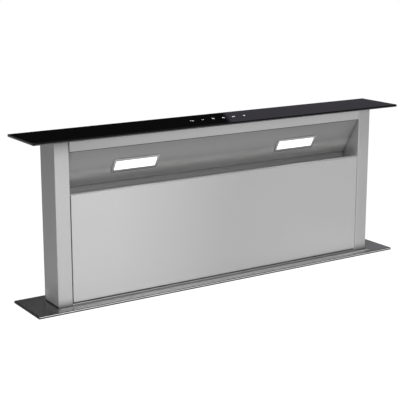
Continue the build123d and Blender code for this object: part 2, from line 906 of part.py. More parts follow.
def rack_right():
    """Rack fixed to the housing's end; its teeth meet the pinion over the whole stroke."""
    tip_y = rack_pitch_y - gear_module
    root_y = rack_pitch_y + dedendum * gear_module
    flank = math.tan(math.radians(pressure_angle))
    half = (tooth_pitch / 2 - gear_backlash / 2) / 2
    tip_half = half - gear_module * flank
    root_half = half + dedendum * gear_module * flank
    first = round(-stroke / 2 / tooth_pitch - rack_teeth / 2) + 0.5
    points = []
    for k in range(rack_teeth):
        z = shaft_z + (first + k) * tooth_pitch
        points += [(root_y, z - root_half), (tip_y, z - tip_half)]
        points += [(tip_y, z + tip_half), (root_y, z + root_half)]
    low = points[0][1] - rack_end
    high = points[-1][1] + rack_end
    back_y = rack_pitch_y + rack_back
    outline = [(back_y, low), (root_y, low)] + points + [(root_y, high), (back_y, high)]
    return along_x(make_face(Polyline(*outline, close=True).edges()), rack_x0, wall_inner_x)


# ---- worktop flange
def worktop_flange():
    half_x = flange_length / 2
    half_y = flange_depth / 2
    sheet = flange_sheet
    body = block(-half_x, half_x, -half_y, half_y, 0, flange_height)
    body = fillet(body.edges().filter_by(Axis.Z), flange_corner_r)
    body = chamfer(body.faces().sort_by(Axis.Z)[-1].edges(), flange_edge_bevel)
    body -= block(-half_x + sheet, half_x - sheet, -half_y + sheet, half_y - sheet, -1, flange_top_under_z)
    body -= block(-opening_half_x, opening_half_x, -opening_half_y, opening_half_y, -1, flange_height + 1)
    collar = ring(opening_half_x, opening_half_y, opening_half_x + sheet, opening_half_y + sheet,
                  flange_height - flange_collar, flange_top_under_z)
    return body + collar


def flange_gasket():
    half_x = flange_length / 2 - flange_sheet - gasket_gap
    half_y = flange_depth / 2 - flange_sheet - gasket_gap
    return ring(half_x - gasket_width, half_y - gasket_width, half_x, half_y, 0, flange_top_under_z)


def wiper_seal():
    bottom = flange_height - flange_collar
    return ring(half_riser + wiper_gap, riser_depth / 2 + wiper_gap, opening_half_x, opening_half_y,
                bottom, bottom + wiper_height)


# ---- housing
def housing_end_right():
    outline = folded([(housing_half - housing_fold, -wall_inner_y),
                      (housing_half, -wall_inner_y),
                      (housing_half, wall_inner_y),
                      (housing_half - housing_fold, wall_inner_y)], housing_sheet, housing_bend_r)
    return along_z(outline, floor_z + housing_sheet, flange_top_under_z)


def housing_front():
    return block(-housing_half, housing_half, front_wall_y, -wall_inner_y, panel_split_z, flange_top_under_z)


def housing_rear():
    return block(-housing_half, housing_half, wall_inner_y, housing_depth / 2,
                 panel_split_z, flange_top_under_z)


def blower_plate():
    plate = block(-housing_half, housing_half, front_wall_y, -wall_inner_y,
                  floor_z + housing_sheet, panel_split_z - lap_gap)
    return plate - rod_y(front_wall_y - 1, -wall_inner_y + 1, blower_x, blower_z, inlet_r + bell_flare + 0.5)


def blanking_plate():
    """Cover of the other blower position, stiffened by three upright beads."""
    top_z = panel_split_z - lap_gap
    outer_y = housing_depth / 2
    plate = block(-housing_half, housing_half, wall_inner_y, outer_y, floor_z + housing_sheet, top_z)
    for k in range(3):
        x = blower_x + (k - 1) * bead_pitch
        plate += block(x - bead_width / 2, x + bead_width / 2, outer_y, outer_y + bead_proud,
                       floor_z + bead_end, top_z - bead_end)
    return plate


def housing_floor():
    half_y = housing_depth / 2
    return block(-housing_half, housing_half, -half_y, half_y, floor_z, floor_z + housing_sheet)


def foot_bracket_right():
    """Folded foot in front of the housing, with two screw holes for the cabinet floor."""
    foot = folded([(front_wall_y - foot_reach, floor_z),
                   (front_wall_y, floor_z),
                   (front_wall_y, floor_z + foot_rise)], foot_sheet, foot_bend_r)
    foot = along_x(foot, foot_x - foot_width / 2, foot_x + foot_width / 2)
    for k in range(2):
        y = front_wall_y - foot_hole_near - k * foot_hole_step
        foot -= rod_z(floor_z - 1, floor_z + foot_sheet + 1, foot_x, y, foot_hole_r)
    return foot


def worktop_clamps():
    """Angle brackets on the housing ends, each with the screw that presses up under the worktop."""
    z0 = clamp_top_z - clamp_height
    screw_x = housing_half + clamp_screw_out
    half = clamp_width / 2
    screw_z0 = z0 - clamp_screw_below
    pad_z0 = clamp_top_z - clamp_pad_drop - clamp_pad_thick
    clamps = []
    for y in (-clamp_y, clamp_y):
        clamp = block(housing_half, housing_half + clamp_sheet, y - half, y + half, z0, clamp_top_z)
        clamp += block(housing_half, housing_half + clamp_arm, y - half, y + half, z0, z0 + clamp_sheet)
        clamp -= rod_z(z0 - 1, z0 + clamp_sheet + 1, screw_x, y, clamp_screw_r + pin_gap)
        screw = rod_z(screw_z0, pad_z0, screw_x, y, clamp_screw_r)
        screw += rod_z(pad_z0, pad_z0 + clamp_pad_thick, screw_x, y, clamp_pad_r)
        head = Plane.XY.offset(screw_z0 - clamp_hex_height) * Pos(screw_x, y) * RegularPolygon(clamp_hex_r, 6)
        screw += extrude(head, clamp_hex_height)
        clamps += [clamp, mirrored(clamp), screw, mirrored(screw)]
    return group(clamps)


def wall_screw(x, z):
    """Pan head standing on the housing's rear face."""
    y = housing_depth / 2
    head = rod_y(y, y + screw_head_height, x, z, screw_head_r)
    head = chamfer(head.edges().sort_by(Axis.Y)[-1], screw_head_bevel)
    recess_y = y + screw_head_height - screw_recess_depth
    return head - rod_y(recess_y, y + screw_head_height + 1, x, z, screw_recess_r)


def housing_screws():
    x = housing_half - housing_screw_inset
    heights = [housing_screw_top_z - k * housing_screw_pitch for k in range(housing_screw_count)]
    rear = [wall_screw(side * x, z) for side in (-1, 1) for z in heights]
    front = [mirror(screw, about=Plane.XZ) for screw in rear]
    return group(rear + front)


# ---- blower
def blower_box():
    """Open sheet box on the housing's front, with a rim that lies on the blower plate."""
    sheet = blower_box_sheet
    rim = blower_box_rim
    y0 = box_front_y + sheet
    walls = block(box_x0, box_x1, y0, front_wall_y, box_z0, box_z1)
    walls -= block(box_x0 + sheet, box_x1 - sheet, y0 - 1, front_wall_y + 1, box_z0 + sheet, box_z1 - sheet)
    flange = block(box_x0 - rim, box_x1 + rim, front_wall_y - sheet, front_wall_y, box_z0 - rim, box_z1 + rim)
    flange -= block(box_x0, box_x1, front_wall_y - 2 * sheet, front_wall_y + 1, box_z0, box_z1)
    walls += flange
    return walls - rod_x(box_x1 - 2 * sheet, box_x1 + 1, scroll_mid_y, duct_z, duct_r - duct_wall)


def blower_cover():
    """Shallow lid over the box's front edge."""
    sheet = blower_box_sheet
    lid = block(box_x0 - sheet, box_x1 + sheet, box_front_y, box_front_y + cover_depth,
                box_z0 - sheet, box_z1 + sheet)
    lid = fillet(lid.faces().sort_by(Axis.Y)[0].edges(), cover_edge_r)
    return lid - block(box_x0, box_x1, box_front_y + sheet, box_front_y + cover_depth + 1, box_z0, box_z1)


def scroll_outline(inset):
    """Spiral that widens from the tongue round to the outlet at the top right, drawn in X and Z."""
    points = []
    for k in range(scroll_points):
        share = k / (scroll_points - 1)
        a = math.radians(90.0 + scroll_turn * share)
        r = scroll_large_r - (scroll_large_r - scroll_small_r) * share - inset
        points.append((blower_x + r * math.cos(a), blower_z + r * math.sin(a)))
    out_x = box_x1 - blower_box_sheet - scroll_end_gap
    last = points[-1]
    end_turn = math.radians(scroll_turn - 180.0)
    spiral = Spline(*points, tangents=[(-1, 0), (math.cos(end_turn), math.sin(end_turn))])
    lines = [spiral, Line(last, (out_x, last[1])), Line((out_x, last[1]), (out_x, points[0][1])),
             Line((out_x, points[0][1]), points[0])]
    return make_face(lines)


def scroll_casing():
    body = along_y(scroll_outline(0.0), scroll_front_y, scroll_back_y - scroll_wall)
    body -= along_y(scroll_outline(scroll_wall), scroll_front_y + scroll_wall, scroll_back_y)
    hub = rod_y(scroll_front_y - 1, scroll_front_y + 2 * scroll_wall, blower_x, blower_z, scroll_hub_hole_r)
    return body - hub


def scroll_cover():
    plate = along_y(scroll_outline(0.0), scroll_back_y - scroll_wall, scroll_back_y)
    hole_r = inlet_r + bell_overlap
    return plate - rod_y(scroll_back_y - 2 * scroll_wall, scroll_back_y + 1, blower_x, blower_z, hole_r)


def inlet_ring():
    """Bellmouth between the hole in the blower plate and the scroll, turned about the blower's axis."""
    wide = inlet_r + bell_flare
    out = wide + bell_flange
    thick = bell_thick
    length = scroll_back_gap + bell_overlap
    middle = (inlet_r + 0.3 * bell_flare, 0.46 * bell_depth)
    line = Line((out, 0), (wide, 0))
    curve = Spline((wide, 0), middle, (inlet_r, bell_depth), (inlet_r, length), tangents=[(-0.6, 1), (0, 1)])
    back = Line((inlet_r, length), (inlet_r + thick, length))
    outer = Spline((inlet_r + thick, length), (inlet_r + thick, bell_depth + 0.5),
                   (middle[0] + thick, middle[1] + 1.0), (wide + 1, thick), tangents=[(0, -1), (0.6, -1)])
    rim = Polyline((wide + 1, thick), (out, thick), (out, 0))
    profile = make_face([line, curve, back, outer, rim])
    plane = Plane(origin=(blower_x, front_wall_y, blower_z), x_dir=(1, 0, 0), z_dir=(0, 0, 1))
    profile = plane * mirror(profile, about=Plane.XZ)
    return revolve(profile, axis=Axis((blower_x, 0, blower_z), (0, 1, 0)), revolution_arc=360)


def blade_face():
    """One forward-curved blade, drawn in X and Z about the impeller's axis."""
    inner = impeller_r - blade_depth_r
    a = math.radians(blade_sweep)
    end = (impeller_r * math.cos(a), impeller_r * math.sin(a))
    half_way = (inner + impeller_r) / 2
    mid = (half_way * math.cos(a * 0.15), half_way * math.sin(a * 0.15))
    camber = ThreePointArc((inner, 0), mid, end)
    return make_face(offset(camber, amount=blade_thick, side=Side.LEFT, closed=True).edges())


def impeller():
    """Squirrel-cage wheel: backplate, hub, shaft, a ring of blades and the band round their open ends."""
    axis = Pos(blower_x, blower_z)
    wheel = along_y(axis * Circle(impeller_r + 0.5), blade_y0 - backplate_thick, blade_y0)
    hub_y1 = blade_y0 + impeller_hub_height
    wheel += along_y(axis * Circle(impeller_hub_r), blade_y0 - backplate_thick, hub_y1)
    wheel += rod_y(motor_back_y - motor_shaft_depth, blade_y0, blower_x, blower_z, motor_shaft_r)
    band = Circle(impeller_r + 1.5) - Circle(impeller_r - 1.0)
    wheel += along_y(axis * band, blade_y1 - impeller_band, blade_y1)
    face = blade_face()
    blades = [axis * Rot(0, 0, 360.0 * k / blade_count) * face for k in range(blade_count)]
    solids = [along_y(blade, blade_y0 - 0.5, blade_y1 - 0.5) for blade in blades]
    return wheel.fuse(*solids)


def blower_motor():
    """Motor with its mounting disc, which lies on the scroll's front wall."""
    body = rod_y(motor_front_y, motor_back_y, blower_x, blower_z, motor_body_r)
    body = fillet(body.faces().sort_by(Axis.Y)[0].edges(), motor_edge_r)
    disc = Circle(motor_disc_r)
    slot = Pos(motor_slot_r, 0) * Rectangle(motor_slot_width, motor_slot_length)
    for k in range(3):
        disc -= Rot(0, 0, 120.0 * k + 30.0) * slot
    body += along_y(Pos(blower_x, blower_z) * disc, motor_back_y, scroll_front_y)
    groove = Circle(motor_body_r + 1) - Circle(motor_body_r - motor_groove_depth)
    for k in range(3):
        y = motor_back_y - motor_groove_start - k * motor_groove_pitch
        body -= along_y(Pos(blower_x, blower_z) * groove, y - motor_groove_width, y)
    depth = motor_shaft_depth + 1
    return body - rod_y(motor_back_y - depth, scroll_front_y + 1, blower_x, blower_z, motor_shaft_r + pin_gap)


# ---- duct collar and damper
def duct_flange():
    half = duct_plate / 2
    plate = block(box_x1, spigot_x0, scroll_mid_y - half, scroll_mid_y + half, duct_z - half, duct_z + half)
    plate = fillet(plate.edges().filter_by(Axis.X), duct_plate_corner_r)
    return plate - rod_x(box_x1 - 1, spigot_x0 + 1, scroll_mid_y, duct_z, duct_r - duct_wall)


def duct_spigot_tube():
    """Round collar for the duct, with the flaps' pin riveted across it."""
    tube = rod_x(spigot_x0, spigot_x1, scroll_mid_y, duct_z, duct_r)
    tube -= rod_x(spigot_x0 - 1, spigot_x1 + 1, scroll_mid_y, duct_z, duct_r - duct_wall)
    reach = duct_r - duct_wall / 2
    return tube + rod_z(duct_z - reach, duct_z + reach, flap_x, scroll_mid_y, flap_pin_r)


def damper_flap(side):
    """Half-disc on one side of the pin, with every other knuckle on it."""
    r = duct_r - duct_wall - flap_gap
    x0 = flap_x - flap_sheet / 2
    x1 = flap_x + flap_sheet / 2
    y0 = scroll_mid_y + side * (knuckle_r + knuckle_clear)
    y1 = scroll_mid_y + side * (r + 1)
    disc = along_x(Pos(scroll_mid_y, duct_z) * Circle(r), x0, x1)
    flap = disc & block(x0 - 1, x1 + 1, min(y0, y1), max(y0, y1), duct_z - r, duct_z + r)
    first_z = duct_z - (r - knuckle_end)
    span = 2 * (r - knuckle_end) / knuckle_count
    tab_y = y0 + side
    for k in range(knuckle_count):
        if (k % 2 == 0) != (side > 0):
            continue
        z0 = first_z + k * span + knuckle_gap / 2
        z1 = z0 + span - knuckle_gap
        flap += rod_z(z0, z1, flap_x, scroll_mid_y, knuckle_r)
        flap += block(x0, x1, min(scroll_mid_y, tab_y), max(scroll_mid_y, tab_y), z0, z1)
    return flap - rod_z(duct_z - r - 1, duct_z + r + 1, flap_x, scroll_mid_y, flap_pin_r + flap_pin_gap)


# ---- electrics
def control_box():
    sheet = control_sheet
    box = block(control_x0, control_x1, control_y0, front_wall_y, control_z0, control_z1)
    box = fillet(box.edges().filter_by(Axis.Y), control_corner_r)
    box -= block(control_x0 + sheet, control_x1 - sheet, control_y0 - 1, front_wall_y - sheet,
                 control_z0 + sheet, control_z1 - sheet)
    return box - rod_z(control_z0 - 1, control_z0 + sheet + 1, gland_x, gland_y, gland_thread_r + pin_gap)


def control_lid():
    lid = block(control_x0, control_x1, control_y0 - lid_thick, control_y0, control_z0, control_z1)
    lid = fillet(lid.edges().filter_by(Axis.Y), control_corner_r)
    return fillet(lid.faces().sort_by(Axis.Y)[0].edges(), lid_edge_r)


def control_board():
    """Board on four posts, with its transformer, capacitor and a row of relays."""
    x0 = control_x0 + main_board_inset
    z0 = control_z0 + main_board_raise
    x1 = x0 + main_board_length
    z1 = z0 + main_board_height
    back_y = front_wall_y - control_sheet
    board_y = back_y - post_height
    face_y = board_y - board_thick
    board = block(x0, x1, face_y, board_y, z0, z1)
    for x in (x0 + post_inset, x1 - post_inset):
        for z in (z0 + post_inset, z1 - post_inset):
            board += rod_y(board_y, back_y, x, z, post_r)
    middle_z = (z0 + z1) / 2
    transformer_x = x0 + transformer_size / 2 + post_inset + post_r
    half = transformer_size / 2
    board += block(transformer_x - half, transformer_x + half, face_y - transformer_height, face_y,
                   middle_z - half, middle_z + half)
    capacitor_x = transformer_x + half + capacitor_r + 4.0
    sunk = 0.4
    board += rod_z(middle_z - capacitor_length / 2, middle_z + capacitor_length / 2,
                   capacitor_x, face_y - capacitor_r + sunk, capacitor_r)
    for k in range(relay_count):
        relay_x = capacitor_x + capacitor_r + 6.0 + k * relay_pitch
        board += block(relay_x, relay_x + relay_width, face_y - relay_depth, face_y,
                       middle_z - relay_height / 2, middle_z + relay_height / 2)
    return board


def terminal_block():
    back_y = front_wall_y - control_sheet
    z0 = control_z0 + control_sheet + terminal_hole_r * 2
    x0 = (control_x0 + control_x1 - terminal_count * relay_pitch) / 2
    x1 = x0 + terminal_count * relay_pitch
    body = block(x0, x1, back_y - terminal_depth, back_y, z0, z0 + terminal_height)
    hole_z = z0 + terminal_height / 2
    for k in range(terminal_count):
        x = x0 + (k + 0.5) * relay_pitch
        body -= rod_y(back_y - terminal_depth - 1, back_y - terminal_depth / 2, x, hole_z, terminal_hole_r)
    return body


def cable_gland():
    """Gland for the mains lead, in the control box's underside, with its nut inside."""
    z1 = control_z0 + control_sheet
    gland = rod_z(control_z0 - gland_reach, control_z0, gland_x, gland_y, gland_body_r)
    gland = chamfer(gland.edges().sort_by(Axis.Z)[0], control_sheet)
    gland += rod_z(control_z0, z1 + gland_inside, gland_x, gland_y, gland_thread_r)
    nut = Plane.XY.offset(z1) * Pos(gland_x, gland_y) * RegularPolygon(gland_nut_r, 6)
    gland += extrude(nut, gland_nut_height)
    return gland - rod_z(control_z0 - gland_reach - 1, z1 + gland_inside + 1, gland_x, gland_y, gland_hole_r)


pieces = {
    "glass_top": glass_top(),
    "glass_carrier": glass_carrier(),
    "touch_board": touch_board(),
    "side_column_right": side_column_right(),
    "side_column_left": mirrored(side_column_right()),
    "top_rail": top_rail(),
    "recess_plate": recess_plate(),
    "lamp_bezels": both(lamp_bezel(lamp_x)),
    "lamp_lenses": both(lamp_lens(lamp_x)),
    "lamp_electronics": group([lamp_board(-lamp_x), lamp_board(lamp_x), lamp_driver()]),
    "rear_panel": rear_panel(),
    "front_skirt": front_skirt(),
    "front_panel": front_panel(),
    "panel_fittings": panel_fittings(),
    "filter_meshes": group(filter_mesh(i) for i in range(filter_count)),
    "riser_screws": riser_screws(),
    "lift_crossbar": lift_crossbar(),
    "actuator_rod": actuator_rod(),
    "rod_pin": rod_pin(),
    "guide_shoes": guide_shoes(),
    "shaft_bushes": shaft_bushes(),
    "sync_shaft": sync_shaft(),
    "pinions": both(pinion_right()),
    "actuator_tube": actuator_tube(),
    "actuator_gearmotor": actuator_gearmotor(),
    "actuator_bracket": group([actuator_bracket(), base_pin()]),
    "guide_rails": both(guide_rail_right()),
    "racks": both(rack_right()),
    "worktop_flange": worktop_flange(),
    "flange_seals": group([flange_gasket(), wiper_seal()]),
    "housing_ends": both(housing_end_right()),
    "housing_front": housing_front(),
    "housing_rear": housing_rear(),
    "blower_plate": blower_plate(),
    "blanking_plate": blanking_plate(),
    "housing_floor": housing_floor(),
    "foot_brackets": both(foot_bracket_right()),
    "worktop_clamps": worktop_clamps(),
    "housing_screws": housing_screws(),
    "blower_box": blower_box(),
    "blower_cover": blower_cover(),
    "scroll_casing": scroll_casing(),
    "scroll_cover": scroll_cover(),
    "inlet_ring": inlet_ring(),
    "impeller": impeller(),
    "blower_motor": blower_motor(),
    "duct_flange": duct_flange(),
    "duct_spigot": duct_spigot_tube(),
    "damper_flap_front": damper_flap(-1),
    "damper_flap_rear": damper_flap(1),
    "control_box": control_box(),
    "control_lid": control_lid(),
    "control_board": group([control_board(), terminal_block()]),
    "cable_gland": cable_gland(),
}
for i, place in enumerate(("left", "middle", "right")):
    pieces["filter_frame_" + place] = filter_frame(i)
    pieces["filter_handle_" + place] = filter_handle(i)

os.makedirs("parts", exist_ok=True)
for name, shape in pieces.items():
    export_step(shape, "parts/" + name + ".step")
print(len(pieces), "pieces")
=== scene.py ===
import bpy
import bmesh
import json
import math
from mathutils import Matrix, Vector


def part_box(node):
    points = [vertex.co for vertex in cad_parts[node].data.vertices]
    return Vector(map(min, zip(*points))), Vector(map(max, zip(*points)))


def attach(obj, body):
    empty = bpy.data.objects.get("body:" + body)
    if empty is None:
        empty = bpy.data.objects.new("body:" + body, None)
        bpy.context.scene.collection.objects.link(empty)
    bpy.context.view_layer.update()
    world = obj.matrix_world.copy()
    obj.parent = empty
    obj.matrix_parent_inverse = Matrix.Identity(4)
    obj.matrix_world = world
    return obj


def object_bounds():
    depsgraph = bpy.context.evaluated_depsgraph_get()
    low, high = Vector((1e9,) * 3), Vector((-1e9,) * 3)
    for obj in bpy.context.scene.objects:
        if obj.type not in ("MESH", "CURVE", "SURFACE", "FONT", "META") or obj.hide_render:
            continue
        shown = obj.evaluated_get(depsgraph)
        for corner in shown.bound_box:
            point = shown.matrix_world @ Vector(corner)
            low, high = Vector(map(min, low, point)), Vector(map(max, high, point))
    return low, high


# Pop-up worktop extractor, raised, seen from the cook's left.
# The frame is in metres: +X to the right, -Y to the cook, +Z up out of the worktop.

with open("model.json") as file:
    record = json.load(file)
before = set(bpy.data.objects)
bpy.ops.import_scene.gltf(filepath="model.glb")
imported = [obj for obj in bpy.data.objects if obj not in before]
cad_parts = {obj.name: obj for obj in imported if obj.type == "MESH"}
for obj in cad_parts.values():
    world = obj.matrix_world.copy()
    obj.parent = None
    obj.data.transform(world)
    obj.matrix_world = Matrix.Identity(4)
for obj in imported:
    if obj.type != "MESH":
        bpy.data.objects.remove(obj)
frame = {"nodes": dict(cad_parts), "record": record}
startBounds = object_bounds()
record = frame["record"]
bodyOfNode = {node: body for body, nodes in record["behaviour"]["bodies"].items() for node in nodes}
slotOfNode = {part["node"]: part["material_slot"] for part in record["subparts"]}
print("frame loaded:", len(slotOfNode), "nodes")


def meshOf(node):
    return bpy.data.objects[frame["nodes"][node].name].data


# Helpers for node trees. Where one takes a value, it may be an output socket or a plain value.

mixSockets = {"factor": 0, "first": 6, "second": 7, "result": 2}
squareOn = 0.8  # the least part of a normal along an axis for its face to count as facing it


def grey(tone):
    return (tone, tone, tone)


def scaled(color, factor):
    return [part * factor for part in color]


def newMaterial(name):
    material = bpy.data.materials.new(name)
    material.use_nodes = True
    tree = material.node_tree
    return material, tree, tree.nodes["Principled BSDF"]


def addNode(tree, kind, inputs=None, **settings):
    node = tree.nodes.new(kind)
    for key, value in settings.items():
        setattr(node, key, value)
    for key, value in (inputs or {}).items():
        node.inputs[key].default_value = value
    return node


def feed(tree, socket, value):
    if hasattr(value, "links"):
        tree.links.new(value, socket)
    elif hasattr(value, "__len__"):
        socket.default_value = (*value, 1)
    else:
        socket.default_value = value


def stretched(tree, scale=(1, 1, 1)):
    # object coordinates in metres, stretched so that a grain runs along one axis
    coords = addNode(tree, "ShaderNodeTexCoord")
    mapping = addNode(tree, "ShaderNodeMapping", {"Scale": scale})
    tree.links.new(coords.outputs["Object"], mapping.inputs["Vector"])
    return mapping.outputs["Vector"]


def noise(tree, vector, scale, detail=3.0, rough=0.5):
    texture = addNode(tree, "ShaderNodeTexNoise",
                      {"Scale": scale, "Detail": detail, "Roughness": rough})
    tree.links.new(vector, texture.inputs["Vector"])
    return texture.outputs["Fac"]


def remap(tree, value, low, high, fromLow=0.3, fromHigh=0.7):
    # spreads a value over low to high and holds it there; a noise lies mostly between 0.3 and 0.7
    span = addNode(tree, "ShaderNodeMapRange",
                   {"From Min": fromLow, "From Max": fromHigh, "To Min": low, "To Max": high})
    tree.links.new(value, span.inputs["Value"])
    return span.outputs["Result"]


def rising(tree, value, start, full):
    # 0 up to the start, 1 from where it is full
    return remap(tree, value, 0.0, 1.0, start, full)


def falling(tree, value, full, gone):
    # 1 up to where it is full, 0 from where it is gone
    return remap(tree, value, 1.0, 0.0, full, gone)


def mixed(tree, factor, first, second):
    # the first color where the factor is 0, the second where it is 1
    mix = addNode(tree, "ShaderNodeMix", data_type="RGBA")
    feed(tree, mix.inputs[mixSockets["first"]], first)
    feed(tree, mix.inputs[mixSockets["second"]], second)
    feed(tree, mix.inputs[mixSockets["factor"]], factor)
    return mix.outputs[mixSockets["result"]]


def calc(tree, operation, *values):
    node = addNode(tree, "ShaderNodeMath", operation=operation)
    for socket, value in zip(node.inputs, values):
        feed(tree, socket, value)
    return node.outputs[0]


def times(tree, first, *others):
    result = first
    for value in others:
        result = calc(tree, "MULTIPLY", result, value)
    return result


def plus(tree, first, second):
    return calc(tree, "ADD", first, second)


def minus(tree, first, second):
    return calc(tree, "SUBTRACT", first, second)


def magnitude(tree, value):
    return calc(tree, "ABSOLUTE", value)


def above(tree, value, limit):
    return calc(tree, "GREATER_THAN", value, limit)


def below(tree, value, limit):
    return calc(tree, "LESS_THAN", value, limit)


def either(tree, first, second):
    return calc(tree, "MAXIMUM", first, second)


def axisPart(tree, vector, axis):
    split = addNode(tree, "ShaderNodeSeparateXYZ")
    tree.links.new(vector, split.inputs["Vector"])
    return split.outputs[axis]


def objectPart(tree, axis):
    return axisPart(tree, addNode(tree, "ShaderNodeTexCoord").outputs["Object"], axis)


def normalPart(tree, axis):
    return axisPart(tree, addNode(tree, "ShaderNodeNewGeometry").outputs["Normal"], axis)


def facesAlong(tree, axis):
    # 1 on faces that look either way along the axis
    return above(tree, magnitude(tree, normalPart(tree, axis)), squareOn)


def facesAgainst(tree, axis):
    # 1 on faces that look the negative way along the axis
    return below(tree, normalPart(tree, axis), -squareOn)


def surface(tree, shader, color, rough, metallic=0.0):
    tree.links.new(color, shader.inputs["Base Color"])
    tree.links.new(rough, shader.inputs["Roughness"])
    shader.inputs["Metallic"].default_value = metallic


def bump(tree, shader, height, look):
    node = addNode(tree, "ShaderNodeBump", {"Strength": look["bump"], "Distance": look["bumpDepth"]})
    tree.links.new(height, node.inputs["Height"])
    tree.links.new(node.outputs["Normal"], shader.inputs["Normal"])


def overlay(material, mask, color, rough=None):
    # lays another tone, and another gloss where one is given, over the material where the mask is 1
    tree = material.node_tree
    shader = tree.nodes["Principled BSDF"]
    base = shader.inputs["Base Color"]
    tree.links.new(mixed(tree, mask, base.links[0].from_socket, color), base)
    if rough is not None:
        gloss = shader.inputs["Roughness"]
        old = gloss.links[0].from_socket
        change = times(tree, mask, minus(tree, rough, old))
        tree.links.new(plus(tree, old, change), gloss)


# Metals.

steelLook = {"color": grey(0.556), "tone": (0.97, 1.02), "grain": (4, 1500, 1500), "grainDetail": 4.0,
             "grainRough": 0.6, "cloudScale": 5, "cloudDetail": 2.0, "cloud": 0.12, "dull": 0.86,
             "rough": (0.50, 0.58), "bump": 0.05, "bumpDepth": 0.0002}


def brushedMetal(name, **changes):
    # long fine scratches along the brush, in roughness and height, over faint cloudy tone
    look = {**steelLook, **changes}
    material, tree, shader = newMaterial(name)
    grain = noise(tree, stretched(tree, look["grain"]), 1.0, look["grainDetail"], look["grainRough"])
    cloud = noise(tree, stretched(tree), look["cloudScale"], look["cloudDetail"])
    darker, lighter = (scaled(look["color"], share) for share in look["tone"])
    streaked = mixed(tree, remap(tree, grain, 0.0, 1.0), darker, lighter)
    clouded = mixed(tree, remap(tree, cloud, 0.0, look["cloud"]), streaked,
                    scaled(look["color"], look["dull"]))
    surface(tree, shader, clouded, remap(tree, grain, *look["rough"]), metallic=1.0)
    bump(tree, shader, grain, look)
    return material


def zincSheet():
    # hot-dip zinc: pale crystals of different tone and gloss, a little dull bloom
    look = {"pale": (0.62, 0.64, 0.66), "dark": (0.44, 0.46, 0.48), "crystal": 130, "darkShare": 0.55,
            "bloom": 9, "bloomDetail": 4.0, "bloomShare": 0.35, "bloomColor": (0.66, 0.67, 0.67),
            "rough": (0.28, 0.46), "metallic": 0.85, "bump": 0.04, "bumpDepth": 0.001}
    material, tree, shader = newMaterial("spangledZinc")
    vector = stretched(tree)
    cells = addNode(tree, "ShaderNodeTexVoronoi", {"Scale": look["crystal"]})
    tree.links.new(vector, cells.inputs["Vector"])
    split = addNode(tree, "ShaderNodeSeparateColor")
    tree.links.new(cells.outputs["Color"], split.inputs["Color"])
    tone = split.outputs["Red"]
    cloud = noise(tree, vector, look["bloom"], look["bloomDetail"])
    crystal = mixed(tree, remap(tree, tone, 0.0, look["darkShare"], 0.0, 1.0),
                    look["pale"], look["dark"])
    bloomed = mixed(tree, remap(tree, cloud, 0.0, look["bloomShare"]), crystal, look["bloomColor"])
    surface(tree, shader, bloomed, remap(tree, tone, *look["rough"], 0.0, 1.0),
            look["metallic"])
    bump(tree, shader, cloud, look)
    return material


def brightMetal(name, color, rough, speck):
    # turned, ground or plated parts: nearly even, with light handling marks
    look = {"detail": 5.0, "noiseRough": 0.65, "dullShare": 0.5, "dull": 0.8,
            "roughSpread": (0.7, 1.4), "bump": 0.02, "bumpDepth": 0.0002}
    material, tree, shader = newMaterial(name)
    marks = noise(tree, stretched(tree), speck, look["detail"], look["noiseRough"])
    marked = mixed(tree, remap(tree, marks, 0.0, look["dullShare"]), color,
                   scaled(color, look["dull"]))
    smooth, coarse = look["roughSpread"]
    surface(tree, shader, marked, remap(tree, marks, rough * smooth, rough * coarse), metallic=1.0)
    bump(tree, shader, marks, look)
    return material


def expandedMesh():
    # diamond openings of expanded aluminium, in layers that catch the light on their strands, with
    # painted shade in the openings
    look = {"strand": (0.66, 0.66, 0.67), "hole": (0.05, 0.05, 0.052), "pitchX": 0.0085,
            "pitchZ": 0.0048, "openingEdge": (0.22, 0.42), "rough": (0.3, 0.7),
            "bump": 0.6, "bumpDepth": 0.0006}
    material, tree, shader = newMaterial("expandedMesh")
    along = times(tree, objectPart(tree, "X"), math.pi / look["pitchX"])
    up = times(tree, objectPart(tree, "Z"), math.pi / look["pitchZ"])
    rightward = calc(tree, "SINE", plus(tree, along, up))
    leftward = calc(tree, "SINE", minus(tree, along, up))
    web = calc(tree, "MINIMUM", magnitude(tree, rightward), magnitude(tree, leftward))
    opening = rising(tree, web, *look["openingEdge"])
    # painted shade: the openings are coloured near black
    surface(tree, shader, mixed(tree, opening, look["strand"], look["hole"]),
            remap(tree, opening, *look["rough"], 0.0, 1.0), metallic=1.0)
    bump(tree, shader, minus(tree, 1.0, opening), look)
    return material


# Plastics, glass, paint, lens and board.

def mouldedPlastic(name, color, rough, grainScale=1800):
    # spark-eroded mould texture: very fine grain in height and gloss
    look = {"grainDetail": 2.0, "cloud": 12, "cloudShare": 0.5, "lighter": 1.25, "lift": 0.01,
            "roughSpread": (-0.06, 0.08), "bump": 0.12, "bumpDepth": 0.0002}
    material, tree, shader = newMaterial(name)
    vector = stretched(tree)
    grain = noise(tree, vector, grainScale, look["grainDetail"])
    cloud = noise(tree, vector, look["cloud"])
    lighter = [min(1, part * look["lighter"] + look["lift"]) for part in color]
    clouded = mixed(tree, remap(tree, cloud, 0.0, look["cloudShare"]), color, lighter)
    smoother, coarser = look["roughSpread"]
    surface(tree, shader, clouded, remap(tree, grain, rough + smoother, rough + coarser))
    bump(tree, shader, grain, look)
    return material


